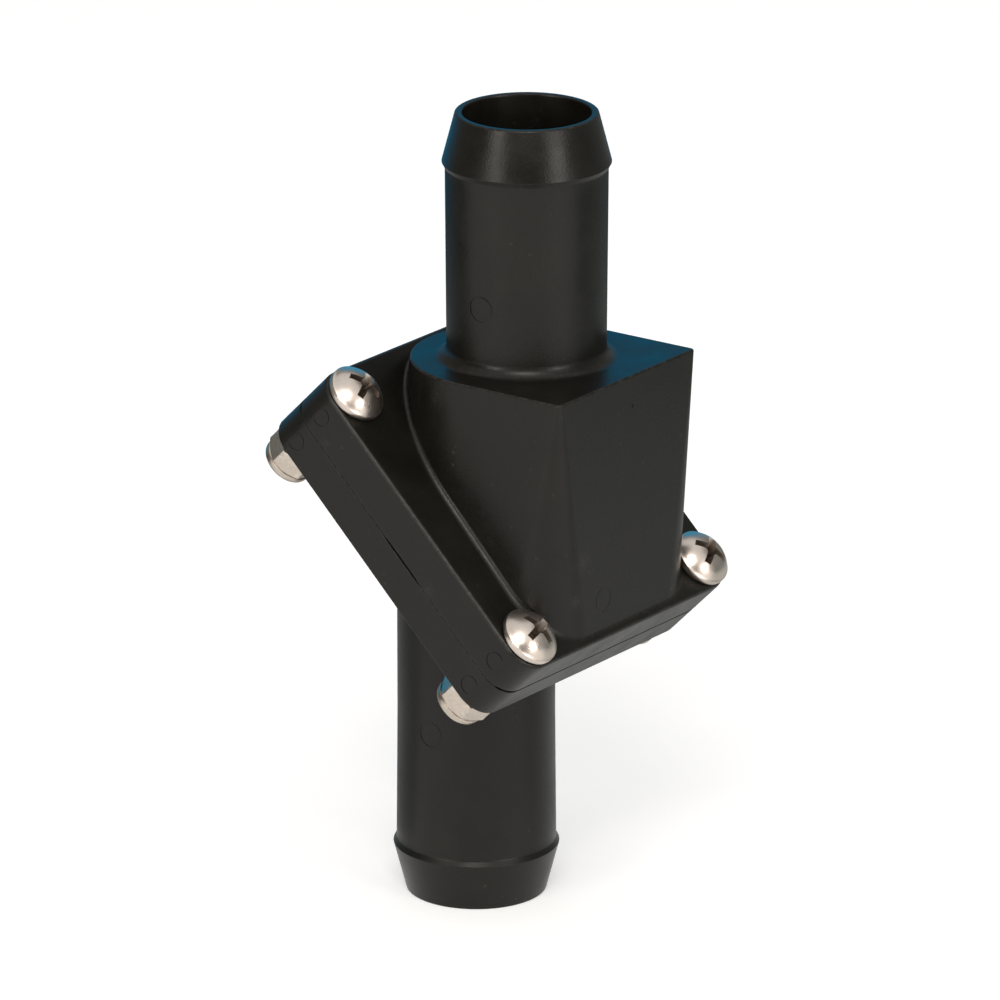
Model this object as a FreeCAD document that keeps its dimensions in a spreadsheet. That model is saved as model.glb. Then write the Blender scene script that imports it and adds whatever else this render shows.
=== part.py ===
import FreeCAD, Part
import math
import os
import re
import Sketcher
from FreeCAD import Placement, Rotation, Vector

# Rubber-flap non-return valve for 25 mm hose: two moulded halves bolted on a sloping joint.
# The origin is the centre of the inlet mouth, +Z runs along the flow through both hose tails,
# and +X points from the inlet axis to the outlet axis.

# Driving dimensions, in millimetres and degrees.
driving = {
    # Hose tails, the same on both halves.
    "bore_radius": 10.0,
    "tail_radius": 12.7,
    "barb_radius": 13.2,
    "barb_length": 7.85,
    "barb_back": 0.95,
    "rim_radius": 11.2,
    "rim_edge": 0.3,
    "root_bevel": 1.4,
    "inlet_bore_length": 38.0,
    "outlet_bore_length": 38.0,
    "core_step": 0.4,
    # The sloping joint between the halves, and where the tails leave it.
    "slope": 45.0,
    "axis_offset": 4.87,
    "inlet_reach": 64.9,
    "outlet_reach": 64.9,
    # Flanges.
    "flange_length": 56.8,
    "flange_width": 56.0,
    "flange_corner": 4.7,
    "upper_flange": 7.2,
    "lower_flange": 6.5,
    "flange_edge": 0.5,
    "joint_chamfer": 0.15,
    "bolt_end_margin": 5.0,
    "bolt_side_margin": 4.8,
    "bolt_hole_radius": 2.75,
    # Chamber block of the outlet half.
    "block_height": 25.5,
    "side_ledge": 9.8,
    "upper_ledge": 2.19,
    "end_ledge": 1.2,
    "block_draft": 3.4,
    "block_skirt": 18.0,
    "corner_top": 0.8,
    "corner_foot": 10.5,
    "corner_inside": 6.0,
    "block_edge": 0.35,
    "wall": 2.6,
    "roof": 2.8,
    "pocket_depth": 5.0,
    "pocket_run": 25.0,
    "pocket_slot": 2.6,
    "pocket_corner": 4.0,
    # Rubber sheet, its seat and its hinge.
    "sheet_thickness": 2.0,
    "gasket_end_margin": 3.9,
    "gasket_side_margin": 7.0,
    "gasket_corner": 11.0,
    "gasket_play": 0.1,
    "seat_radius": 10.6,
    "seat_plate": 2.0,
    "flap_radius": 13.0,
    "flap_slot": 2.0,
    "flap_lift": 0.05,
    "hinge_run": 20.0,
    "hinge_gap": 3.0,
    "hinge_width": 18.0,
    "hinge_web": 1.0,
    # What the flap carries.
    "weight_radius": 10.5,
    "weight_thickness": 1.5,
    "backing_radius": 9.0,
    "backing_thickness": 1.2,
    "flap_screw_radius": 2.0,
    "flap_screw_length": 10.0,
    "flap_head_radius": 4.0,
    "flap_head_height": 2.6,
    "flap_nut_flats": 7.0,
    "flap_nut_height": 3.2,
    # Pan heads: height of the rim and width of the flat top, as shares of the head's.
    "head_rim_share": 0.4,
    "head_flat_share": 0.55,
    # Flange screws, lock nuts and their nylon rings.
    "screw_radius": 2.5,
    "screw_length": 20.0,
    "head_radius": 4.78,
    "head_height": 3.5,
    "nut_flats": 8.0,
    "nut_hex": 3.6,
    "nut_height": 5.0,
    "collar_radius": 3.6,
    "ring_radius": 2.95,
    "ring_floor": 0.1,
    "ring_sink": 0.3,
    "ring_grip": 0.02,
    "thread_play": 0.05,
    "hole_play": 0.15,
}

doc = FreeCAD.newDocument("non_return_valve")
sizes = doc.addObject("Spreadsheet::Sheet", "sizes")
for row, (name, number) in enumerate(driving.items(), start=1):
    sizes.set(f"A{row}", name)
    sizes.set(f"B{row}", str(number))
    sizes.setAlias(f"B{row}", name)
doc.recompute()

# Places on the joint: "along" runs down the slope, "across" is Y and "above" is square to the joint.
seat_centre = "((sheet_thickness*sin(slope) - axis_offset)/cos(slope))"
hinge_along = f"({seat_centre} + hinge_run)"
# The block stands a ledge in from the flange's sides, and the flange starts a ledge above the foot of the
# block's round end, whose place on the slope is "round_foot".
block_half = "(flange_width/2 - side_ledge)"
round_foot = (f"((axis_offset - {block_half} - (block_height - upper_flange/cos(slope))*tan(block_draft))"
              "/(1 + tan(block_draft)*tan(slope))/cos(slope) - upper_flange*tan(slope))")
flange_middle = f"({round_foot} - upper_ledge + flange_length/2)"
# Distance of the block's flat end from the outlet axis, a ledge back from the flange's lower end.
block_end = (f"(({flange_middle} + flange_length/2 - end_ledge)*cos(slope) + upper_flange*sin(slope)"
             " - axis_offset)")
bolt_places = [
    (f"({flange_middle} + {end}*(flange_length/2 - bolt_end_margin))", f"{side}*(flange_width/2 - bolt_side_margin)")
    for end, side in ((-1, -1), (-1, 1), (1, -1), (1, 1))
]


# Turns a formula written with plain size names into one that reads the sheet.
def formula(text):
    def point(match):
        word = match.group()
        return f"sizes.{word}" if word in driving else word
    return re.sub(r"[a-z_]+", point, str(text))


def value(text):
    answer = sizes.evalExpression(formula(text))
    return float(getattr(answer, "Value", answer))


def bind(thing, prop, text):
    thing.setExpression(prop, formula(text))


def new_body(label):
    body = doc.addObject("PartDesign::Body", label)
    body.Label = label
    return body


# A sketch on one of the body's own planes, moved by (x, y, z) in that plane's axes.
def new_sketch(body, name, role="XY_Plane", at=("0", "0", "0"), sloping=False):
    sketch = body.newObject("Sketcher::SketchObject", name)
    plane = next(p for p in body.Origin.OriginFeatures if p.Role == role)
    sketch.AttachmentSupport = (plane, [""])
    sketch.MapMode = "FlatFace"
    if sloping:
        sketch.AttachmentOffset = Placement(Vector(), Rotation(Vector(0, 1, 0), value("slope")))
        bind(sketch, "AttachmentOffset.Rotation.Angle", "slope")
    for axis, text in zip("xyz", at):
        bind(sketch, f"AttachmentOffset.Base.{axis}", text)
    return sketch


# A sketch in the sloping joint's plane, or "above" it by a formula.
def joint_sketch(body, name, above="0"):
    at = (f"axis_offset + ({above})*sin(slope)", "0", f"inlet_reach + ({above})*cos(slope)")
    return new_sketch(body, name, at=at, sloping=True)


def drive(sketch, kind, *where, text):
    index = sketch.addConstraint(Sketcher.Constraint(kind, *where, value(text)))
    name = f"size{index}"
    sketch.renameConstraint(index, name)
    bind(sketch, f"Constraints.{name}", text)


# Ties a point of the sketch to a place given by two formulas.
def pin_point(sketch, item, end, across, up):
    for kind, text, axis in (("DistanceX", across, -2), ("DistanceY", up, -1)):
        if abs(value(text)) < 1e-9:
            sketch.addConstraint(Sketcher.Constraint("PointOnObject", item, end, axis))
        else:
            drive(sketch, kind, -1, 1, item, end, text=text)


def circle(sketch, across, up, radius):
    middle = Vector(value(across), value(up), 0)
    item = sketch.addGeometry(Part.Circle(middle, Vector(0, 0, 1), value(radius)))
    pin_point(sketch, item, 3, across, up)
    drive(sketch, "Radius", item, text=radius)


def polygon(sketch, points):
    spots = [Vector(value(x), value(y), 0) for x, y in points]
    count = len(spots)
    for index in range(count):
        sketch.addGeometry(Part.LineSegment(spots[index], spots[(index + 1) % count]))
    for index, (x, y) in enumerate(points):
        sketch.addConstraint(Sketcher.Constraint("Coincident", index, 2, (index + 1) % count, 1))
        pin_point(sketch, index, 1, x, y)


# A closed outline of arcs joined by straight sides, anticlockwise.
# Each arc is (centre x, centre y, radius, first angle, last angle), with angles in quarter turns.
def outline(sketch, arcs):
    first = sketch.GeometryCount
    rings = []
    for x, y, radius, start, stop in arcs:
        ring = Part.Circle(Vector(value(x), value(y), 0), Vector(0, 0, 1), value(radius))
        rings.append(Part.ArcOfCircle(ring, start*math.pi/2, stop*math.pi/2))
    count = len(rings)
    for index, ring in enumerate(rings):
        following = rings[(index + 1) % count]
        sketch.addGeometry(ring)
        sketch.addGeometry(Part.LineSegment(ring.EndPoint, following.StartPoint))
    for index, (x, y, radius, start, stop) in enumerate(arcs):
        item = first + 2*index
        after = first + (2*index + 2) % (2*count)
        pin_point(sketch, item, 3, x, y)
        drive(sketch, "Radius", item, text=radius)
        for end, quarter in ((1, start), (2, stop)):
            level = "Horizontal" if quarter % 2 == 0 else "Vertical"
            sketch.addConstraint(Sketcher.Constraint(level, item, 3, item, end))
        sketch.addConstraint(Sketcher.Constraint("Coincident", item, 2, item + 1, 1))
        sketch.addConstraint(Sketcher.Constraint("Coincident", item + 1, 2, after, 1))


# A rectangle about the flange's middle.
def rounded_rectangle(sketch, length, width, corner):
    reach = f"(({length})/2 - ({corner}))"
    far, near_end = f"({flange_middle} + {reach})", f"({flange_middle} - {reach})"
    side = f"(({width})/2 - ({corner}))"
    outline(sketch, [
        (far, side, corner, 0, 1),
        (near_end, side, corner, 1, 2),
        (near_end, f"-{side}", corner, 2, 3),
        (far, f"-{side}", corner, 3, 4),
    ])


# A flat end at "end", two corners there, straight sides and a half-round end about "centre".
def half_round(sketch, centre, end, half_width, corner):
    far = f"(({end}) - ({corner}))"
    side = f"(({half_width}) - ({corner}))"
    outline(sketch, [
        (far, side, corner, 0, 1),
        (centre, "0", half_width, 1, 3),
        (far, f"-{side}", corner, 3, 4),
    ])


def feature(body, kind, name, sketch=None):
    made = body.newObject(f"PartDesign::{kind}", name)
    if sketch is not None:
        made.Profile = (sketch, [""])
        sketch.Visibility = False
    return made


def pad(body, name, sketch, length, down=False):
    made = feature(body, "Pad", name, sketch)
    bind(made, "Length", length)
    made.Reversed = down
    return made


# Pockets cut below their sketch, or above it with up=True.
def pocket(body, name, sketch, length, up=False):
    made = feature(body, "Pocket", name, sketch)
    bind(made, "Length", length)
    made.Reversed = up
    return made


def revolve(body, name, sketch, half=False):
    made = feature(body, "Revolution", name, sketch)
    made.ReferenceAxis = (sketch, ["V_Axis"])
    made.Angle = 180 if half else 360
    made.Midplane = half
    return made


# Rounds or bevels the edges of a feature that pass a test on points spread along them.
def dress(body, kind, name, base, size, test):
    doc.recompute()
    chosen = []
    for index, edge in enumerate(base.Shape.Edges, start=1):
        if all(test(edge, point) for point in edge.discretize(5)):
            chosen.append(f"Edge{index}")
    made = feature(body, kind, name)
    made.Base = (base, chosen)
    bind(made, "Radius" if kind == "Fillet" else "Size", size)
    return made


# A point's place on the joint: along the slope, across it and above it.
def on_joint(point):
    angle = math.radians(value("slope"))
    x = point.x - value("axis_offset")
    z = point.z - value("inlet_reach")
    along = x*math.cos(angle) - z*math.sin(angle)
    above = x*math.sin(angle) + z*math.cos(angle)
    return along, point.y, above


def near(number, text):
    return abs(number - value(text)) < 1e-4


def on_flange_rim(point):
    along, across, above = on_joint(point)
    corner = value("flange_corner")
    past_along = abs(along - value(flange_middle)) - (value("flange_length")/2 - corner)
    past_across = abs(across) - (value("flange_width")/2 - corner)
    if past_along > 0 and past_across > 0:
        return abs(math.hypot(past_along, past_across) - corner) < 1e-3
    return abs(max(past_along, past_across) - corner) < 1e-3


# Puts a small piece, drawn about its own origin, on the joint and tilts it with the slope.
def seat(body, along, across, above):
    body.Placement = Placement(Vector(), Rotation(Vector(0, 1, 0), value("slope")))
    bind(body, "Placement.Rotation.Angle", "slope")
    spot = {
        "x": f"axis_offset + ({along})*cos(slope) + ({above})*sin(slope)",
        "y": across,
        "z": f"inlet_reach - ({along})*sin(slope) + ({above})*cos(slope)",
    }
    for axis, text in spot.items():
        bind(body, f"Placement.Base.{axis}", text)


# Outer profile of a hose tail, from its rim back over the barb to its root.
def tail_profile(rim, root, towards_rim):
    back = f"({rim} - ({towards_rim})*barb_length)"
    step = f"({back} - ({towards_rim})*barb_back)"
    edge = f"({rim} - ({towards_rim})*rim_edge)"
    return [
        ("0", root),
        ("tail_radius", root),
        ("tail_radius", step),
        ("barb_radius", back),
        ("rim_radius + rim_edge/2", edge),
        ("rim_radius", rim),
        ("0", rim),
    ]


# Four round spots on the bolt pattern.
def bolt_circles(sketch, radius):
    for along, across in bolt_places:
        circle(sketch, along, across, radius)


# Inlet half: lower hose tail, flange, recess for the rubber sheet and the seat.
def make_inlet_body():
    body = new_body("inlet_body")
    plate = joint_sketch(body, "inlet_flange_outline")
    rounded_rectangle(plate, "flange_length", "flange_width", "flange_corner")
    flange = pad(body, "inlet_flange", plate, "lower_flange", down=True)

    def lower_rim(edge, point):
        return near(on_joint(point)[2], "-lower_flange") and on_flange_rim(point)

    def joint_rim(edge, point):
        return near(on_joint(point)[2], "0") and on_flange_rim(point)

    bevelled = dress(body, "Chamfer", "inlet_flange_edge", flange, "flange_edge", lower_rim)
    dress(body, "Chamfer", "inlet_joint_edge", bevelled, "joint_chamfer", joint_rim)

    tail = new_sketch(body, "inlet_tail_profile", "XZ_Plane")
    top = "(inlet_reach + axis_offset + tail_radius*tan(slope))"
    polygon(tail, tail_profile("0", top, "-1"))
    revolve(body, "inlet_tail", tail)

    trim = joint_sketch(body, "inlet_trim_outline")
    rounded_rectangle(trim, "flange_length*2", "flange_width*2", "flange_corner")
    pocket(body, "inlet_trim", trim, "inlet_reach", up=True)

    recess = joint_sketch(body, "recess_outline")
    rounded_rectangle(recess, "flange_length - 2*(gasket_end_margin - gasket_play)",
                      "flange_width - 2*(gasket_side_margin - gasket_play)", "gasket_corner + gasket_play")
    pocket(body, "gasket_recess", recess, "sheet_thickness")

    bore = new_sketch(body, "inlet_bore_circle")
    circle(bore, "0", "0", "bore_radius")
    pocket(body, "inlet_bore", bore, "inlet_bore_length", up=True)
    throat = new_sketch(body, "inlet_throat_circle", at=("0", "0", "inlet_bore_length"))
    circle(throat, "0", "0", "bore_radius + core_step")
    pocket(body, "inlet_throat", throat, "inlet_reach*2", up=True)

    ring = joint_sketch(body, "seat_outline", "-sheet_thickness")
    circle(ring, seat_centre, "0", "seat_radius + (bore_radius/cos(slope) - seat_radius)*2")
    circle(ring, seat_centre, "0", "seat_radius")
    pad(body, "seat_ring", ring, "seat_plate", down=True)

    holes = joint_sketch(body, "inlet_bolt_circles")
    bolt_circles(holes, "bolt_hole_radius")
    pocket(body, "inlet_bolt_holes", holes, "lower_flange*2")
    return body


# Plain form of the chamber block or of its hollow: half a cone frustum on the outlet axis and a wedge that
# runs from it to the flat end. Both widen downwards, and "inset" and "cap" set the hollow in from the walls.
def block_form(body, name, inset="0", cap="0"):
    crown = f"(inlet_reach + block_height - ({cap}))"
    foot = "(inlet_reach - block_skirt)"
    narrow = f"({block_half} + ({cap})*tan(block_draft) - ({inset}))"
    wide = f"({block_half} + (block_height + block_skirt)*tan(block_draft) - ({inset}))"
    round_end = new_sketch(body, f"{name}_round_profile", "XZ_Plane", ("2*axis_offset", "0", "0"))
    polygon(round_end, [("0", foot), (f"-{wide}", foot), (f"-{narrow}", crown), ("0", crown)])
    revolve(body, f"{name}_round_end", round_end, half=True)
    sides = new_sketch(body, f"{name}_side_profile", "YZ_Plane", ("0", "0", "2*axis_offset"))
    polygon(sides, [(f"-{wide}", foot), (wide, foot), (narrow, crown), (f"-{narrow}", crown)])
    return pad(body, f"{name}_wedge", sides, f"{block_end} - ({inset})")


# True for the two slanting corners between the flat end and the sides of the block or its hollow.
def end_corner(inset):
    def test(edge, point):
        upright = abs(edge.valueAt(edge.FirstParameter).z - edge.valueAt(edge.LastParameter).z) > 1
        return upright and near(point.x, f"2*axis_offset + {block_end} - ({inset})")
    return test


# Chamber block whose end corners go from sharp at the top to broad at the foot.
def make_block():
    body = new_body("block_form")
    block_form(body, "block")
    doc.recompute()
    rounded = doc.addObject("Part::Fillet", "block_rounded")
    rounded.Base = body
    corner = end_corner("0")
    radii = []
    for index, edge in enumerate(body.Shape.Edges, start=1):
        if all(corner(edge, point) for point in edge.discretize(5)):
            ends = (value("corner_top"), value("corner_foot"))
            rising = edge.valueAt(edge.LastParameter).z > edge.valueAt(edge.FirstParameter).z
            radii.append((index, *(reversed(ends) if rising else ends)))
    rounded.Edges = radii
    return rounded


# Outside of the outlet half: flange, chamber block and upper hose tail.
def make_outlet_outside():
    body = new_body("outlet_outside")
    body.BaseFeature = make_block()
    trim = joint_sketch(body, "outlet_trim_outline", "upper_flange - flange_edge")
    rounded_rectangle(trim, "flange_length*2", "flange_width*2", "flange_corner")
    pocket(body, "outlet_trim", trim, "inlet_reach")
    plate = joint_sketch(body, "outlet_flange_outline")
    rounded_rectangle(plate, "flange_length", "flange_width", "flange_corner")
    flange = pad(body, "outlet_flange", plate, "upper_flange")

    def upper_rim(edge, point):
        return near(on_joint(point)[2], "upper_flange") and on_flange_rim(point)

    def joint_rim(edge, point):
        return near(on_joint(point)[2], "0") and on_flange_rim(point)

    bevelled = dress(body, "Chamfer", "outlet_flange_edge", flange, "flange_edge", upper_rim)
    block = dress(body, "Chamfer", "outlet_joint_edge", bevelled, "joint_chamfer", joint_rim)

    def block_top_edge(edge, point):
        return near(point.z, "inlet_reach + block_height")

    dress(body, "Chamfer", "block_top_edge", block, "block_edge", block_top_edge)

    tail = new_sketch(body, "outlet_tail_profile", "XZ_Plane", ("2*axis_offset", "0", "0"))
    rim = "(inlet_reach + outlet_reach)"
    polygon(tail, tail_profile(rim, "inlet_reach + block_height - roof/2", "1"))
    tube = revolve(body, "outlet_tail", tail)

    def tail_root(edge, point):
        reach = math.hypot(point.x - value("2*axis_offset"), point.y)
        return near(point.z, "inlet_reach + block_height") and near(reach, "tail_radius")

    dress(body, "Chamfer", "tail_root_bevel", tube, "root_bevel", tail_root)

    holes = joint_sketch(body, "outlet_bolt_circles", "upper_flange")
    bolt_circles(holes, "bolt_hole_radius")
    pocket(body, "outlet_bolt_holes", holes, "upper_flange*2")
    seats = joint_sketch(body, "head_seat_circles", "upper_flange")
    bolt_circles(seats, "head_radius + hole_play")
    pocket(body, "head_seats", seats, "head_height", up=True)
    return body


# Hollow of the outlet half: the chamber, the pocket over the flap and the outlet bore.
def make_outlet_hollow():
    body = new_body("outlet_hollow")
    hollow = block_form(body, "chamber", "wall", "roof")
    dress(body, "Fillet", "chamber_corners", hollow, "corner_inside", end_corner("wall"))
    trim = joint_sketch(body, "chamber_trim_outline", "pocket_depth")
    rounded_rectangle(trim, "flange_length*2", "flange_width*2", "flange_corner")
    pocket(body, "chamber_trim", trim, "inlet_reach")

    over_flap = joint_sketch(body, "flap_pocket_outline", "-joint_chamfer")
    half_round(over_flap, seat_centre, f"{seat_centre} + pocket_run", "flap_radius + pocket_slot", "pocket_corner")
    pad(body, "flap_pocket", over_flap, "pocket_depth + joint_chamfer*2")

    rim = "(inlet_reach + outlet_reach)"
    throat = new_sketch(body, "outlet_throat_circle", at=("2*axis_offset", "0", f"{rim} - outlet_bore_length"))
    circle(throat, "0", "0", "bore_radius + core_step")
    pad(body, "outlet_throat", throat, "outlet_reach - outlet_bore_length - block_height + roof*2", down=True)
    bore = new_sketch(body, "outlet_bore_circle", at=("2*axis_offset", "0", f"{rim} + roof"))
    circle(bore, "0", "0", "bore_radius")
    pad(body, "outlet_bore", bore, "outlet_bore_length + roof*1.5", down=True)
    return body


def make_outlet_body():
    body = doc.addObject("Part::Cut", "outlet_body")
    body.Base = make_outlet_outside()
    body.Tool = make_outlet_hollow()
    body.Label = "outlet_body"
    return body


# Rubber sheet clamped in the joint, cut away round the flap.
def make_gasket():
    body = new_body("gasket")
    sheet = new_sketch(body, "gasket_outline")
    rounded_rectangle(sheet, "flange_length - 2*gasket_end_margin", "flange_width - 2*gasket_side_margin",
                      "gasket_corner")
    half_round(sheet, seat_centre, f"{hinge_along} + hinge_gap/2", "flap_radius + flap_slot", "flap_slot")
    pad(body, "gasket_sheet", sheet, "sheet_thickness")
    seat(body, "0", "0", "-sheet_thickness")
    return body


# Flap of the same sheet, drawn about the seat's centre.
def make_flap():
    body = new_body("flap")
    tongue = new_sketch(body, "flap_outline")
    half_round(tongue, "0", "hinge_run - hinge_gap/2", "flap_radius", "flap_slot")
    circle(tongue, "0", "0", "flap_screw_radius + hole_play")
    pad(body, "flap_sheet", tongue, "sheet_thickness")
    seat(body, seat_centre, "0", "flap_lift - sheet_thickness")
    return body


# Waisted strip of rubber that the flap bends on, drawn about the hinge axis.
def make_hinge_web():
    body = new_body("flap_hinge_web")
    waist = new_sketch(body, "hinge_profile", "XZ_Plane", ("0", "0", "-hinge_width/2"))
    half, neck = "hinge_gap/2", "hinge_gap/6"
    thick, thin = "(sheet_thickness/2 - flap_lift)", "hinge_web/2"
    polygon(waist, [
        (f"-{half}", f"-{thick}"), (f"-{neck}", f"-{thin}"), (neck, f"-{thin}"), (half, f"-{thick}"),
        (half, thick), (neck, thin), (f"-{neck}", thin), (f"-{half}", thick),
    ])
    pad(body, "hinge_strip", waist, "hinge_width")
    seat(body, hinge_along, "0", "-sheet_thickness/2")
    return body


def make_disc(label, radius, thickness, above):
    body = new_body(label)
    face = new_sketch(body, f"{label}_circles")
    circle(face, "0", "0", radius)
    circle(face, "0", "0", "flap_screw_radius + hole_play")
    pad(body, f"{label}_plate", face, thickness)
    seat(body, seat_centre, "0", above)
    return body


# Pan-head screw: its head stands on the origin and its shank points down.
def make_screw(label, radius, length, head, height):
    body = new_body(label)
    dome = new_sketch(body, f"{label}_head_profile", "XZ_Plane")
    polygon(dome, [
        ("0", "0"), (head, "0"), (head, f"({height})*head_rim_share"),
        (f"({head})*head_flat_share", height), ("0", height),
    ])
    revolve(body, f"{label}_head", dome)
    shank = new_sketch(body, f"{label}_shank_profile", "XZ_Plane")
    polygon(shank, [("0", "0"), ("0", f"-{length}"), (radius, f"-{length}"), (radius, "0")])
    revolve(body, f"{label}_shank", shank)
    return body


# Hexagon drawn flat to flat across the sketch's vertical.
def hexagon(sketch, flats):
    point = f"(({flats})/sqrt(3))"
    half = f"(({flats})/2)"
    polygon(sketch, [
        (point, "0"), (f"{point}/2", half), (f"-{point}/2", half),
        (f"-{point}", "0"), (f"-{point}/2", f"-{half}"), (f"{point}/2", f"-{half}"),
    ])


def make_flap_nut():
    body = new_body("flap_nut")
    sides = new_sketch(body, "flap_nut_outline")
    hexagon(sides, "flap_nut_flats")
    circle(sides, "0", "0", "flap_screw_radius + thread_play")
    pad(body, "flap_nut_prism", sides, "flap_nut_height", down=True)
    seat(body, seat_centre, "0", "flap_lift - sheet_thickness - backing_thickness")
    return body


# Lock nut with a round collar that holds a nylon ring; it hangs down from the origin.
def make_lock_nut(label):
    body = new_body(label)
    sides = new_sketch(body, f"{label}_outline")
    hexagon(sides, "nut_flats")
    pad(body, f"{label}_prism", sides, "nut_hex", down=True)
    collar = new_sketch(body, f"{label}_collar_profile", "XZ_Plane")
    polygon(collar, [("0", "0"), ("0", "-nut_height"), ("collar_radius", "-nut_height"), ("collar_radius", "0")])
    revolve(body, f"{label}_collar", collar)
    hole = new_sketch(body, f"{label}_hole_circle")
    circle(hole, "0", "0", "screw_radius + thread_play")
    pocket(body, f"{label}_hole", hole, "nut_height*2")
    lip = new_sketch(body, f"{label}_ring_circle", at=("0", "0", "-nut_height"))
    circle(lip, "0", "0", "ring_radius")
    pocket(body, f"{label}_ring_seat", lip, "nut_height - nut_hex - ring_floor", up=True)
    return body


def make_nut_ring(label):
    body = new_body(label)
    ring = new_sketch(body, f"{label}_circles", at=("0", "0", "ring_sink - nut_height"))
    circle(ring, "0", "0", "ring_radius - thread_play")
    circle(ring, "0", "0", "screw_radius + ring_grip")
    pad(body, f"{label}_washer", ring, "nut_height - nut_hex - ring_sink - ring_floor - thread_play")
    return body


top_of_weight = "(flap_lift + weight_thickness)"
under_flap = "(flap_lift - sheet_thickness)"
pieces = [make_inlet_body(), make_outlet_body(), make_gasket(), make_hinge_web(), make_flap()]
pieces.append(make_disc("flap_weight", "weight_radius", "weight_thickness", "flap_lift"))
pieces.append(make_disc("flap_backing_plate", "backing_radius", "backing_thickness",
                        f"{under_flap} - backing_thickness"))
flap_screw = make_screw("flap_screw", "flap_screw_radius", "flap_screw_length",
                        "flap_head_radius", "flap_head_height")
seat(flap_screw, seat_centre, "0", top_of_weight)
pieces += [flap_screw, make_flap_nut()]
for number, (along, across) in enumerate(bolt_places, start=1):
    screw = make_screw(f"flange_screw_{number}", "screw_radius", "screw_length", "head_radius", "head_height")
    seat(screw, along, across, "upper_flange")
    nut = make_lock_nut(f"lock_nut_{number}")
    ring = make_nut_ring(f"nut_ring_{number}")
    for hanging in (nut, ring):
        seat(hanging, along, across, "-lower_flange")
    pieces += [screw, nut, ring]

doc.recompute()
for thing in doc.Objects:
    if "Invalid" in thing.State or "Error" in thing.State:
        raise SystemExit(f"{thing.Label} failed: {thing.State}")
for piece in pieces:
    if piece.Shape.isNull() or not piece.Shape.isValid() or len(piece.Shape.Solids) != 1:
        raise SystemExit(f"{piece.Label} isn't one valid solid")

os.makedirs("parts", exist_ok=True)
for piece in pieces:
    piece.Shape.exportStep(f"parts/{piece.Label}.step")
    box = piece.Shape.BoundBox
    print(f"{piece.Label}: {piece.Shape.Volume:.1f} mm3, z {box.ZMin:.2f} to {box.ZMax:.2f}")
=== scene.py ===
import math
import bpy
from mathutils import Matrix, Vector


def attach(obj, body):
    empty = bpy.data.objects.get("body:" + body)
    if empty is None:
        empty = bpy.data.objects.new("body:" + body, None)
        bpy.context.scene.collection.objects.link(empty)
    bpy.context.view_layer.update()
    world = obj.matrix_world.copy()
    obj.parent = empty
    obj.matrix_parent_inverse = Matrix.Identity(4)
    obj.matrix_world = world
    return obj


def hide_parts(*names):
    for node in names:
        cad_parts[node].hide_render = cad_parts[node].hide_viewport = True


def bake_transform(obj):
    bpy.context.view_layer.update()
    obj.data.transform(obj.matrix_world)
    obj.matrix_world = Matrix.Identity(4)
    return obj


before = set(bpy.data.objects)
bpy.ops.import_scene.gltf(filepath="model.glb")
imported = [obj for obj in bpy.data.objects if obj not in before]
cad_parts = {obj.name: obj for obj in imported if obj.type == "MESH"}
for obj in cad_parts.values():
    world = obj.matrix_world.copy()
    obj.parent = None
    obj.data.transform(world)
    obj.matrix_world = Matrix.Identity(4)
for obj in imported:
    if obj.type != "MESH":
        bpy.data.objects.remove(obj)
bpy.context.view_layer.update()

# Pieces are modelled in millimetres and brought to metres when they are finished.
# On the joint, "along" runs down the slope, "side" is Y and "above" is square to the joint.
toMetres = 0.001
joint = {"x": 4.87, "z": 64.9, "slope": 45.0}
turn = math.radians(joint["slope"])
jointPoint = Vector((joint["x"], 0, joint["z"]))
downSlope = Vector((math.cos(turn), 0, -math.sin(turn)))
sideways = Vector((0, 1, 0))
offJoint = Vector((math.sin(turn), 0, math.cos(turn)))
outletX = joint["x"] * 2
bolts = {"alongPitch": 46.8, "sidePitch": 46.4, "hole": 2.75}
boltPlaces = [(end * bolts["alongPitch"] / 2, side * bolts["sidePitch"] / 2)
              for end, side in ((-1, -1), (-1, 1), (1, -1), (1, 1))]


def onJoint(along, side, above):
    return jointPoint + downSlope * along + sideways * side + offJoint * above


def fromJoint(spot):
    away = Vector(spot) - jointPoint
    return away.dot(downSlope), away.y, away.dot(offJoint)


# Working habits: one piece active at a time, nothing else selected.
def clearSelection():
    if bpy.context.object and bpy.context.object.mode != "OBJECT":
        bpy.ops.object.mode_set(mode="OBJECT")
    bpy.ops.object.select_all(action="DESELECT")


def take(piece):
    clearSelection()
    piece.select_set(True)
    bpy.context.view_layer.objects.active = piece


def endsOf(mesh, edge):
    return [mesh.vertices[v].co for v in edge.vertices]


def enterEdit(piece, kind, action):
    take(piece)
    bpy.ops.object.mode_set(mode="EDIT")
    bpy.ops.mesh.select_mode(type=kind)
    bpy.ops.mesh.select_all(action=action)


# Selects, in edit mode, the faces or the edges that pass a test on their normal or on their two ends.
def choose(piece, kind, test):
    enterEdit(piece, kind, "DESELECT")
    bpy.ops.object.mode_set(mode="OBJECT")
    mesh = piece.data
    for cell in mesh.polygons if kind == "FACE" else mesh.edges:
        cell.select = bool(test(cell.normal) if kind == "FACE" else test(*endsOf(mesh, cell)))
    bpy.ops.object.mode_set(mode="EDIT")


def leaveEdit():
    bpy.ops.object.mode_set(mode="OBJECT")


weld = 0.0005


def mergeDoubles(piece):
    enterEdit(piece, "VERT", "SELECT")
    bpy.ops.mesh.remove_doubles(threshold=weld)
    bpy.ops.mesh.dissolve_degenerate(threshold=weld)
    bpy.ops.mesh.select_all(action="SELECT")
    bpy.ops.mesh.normals_make_consistent(inside=False)
    leaveEdit()
    return piece


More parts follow.
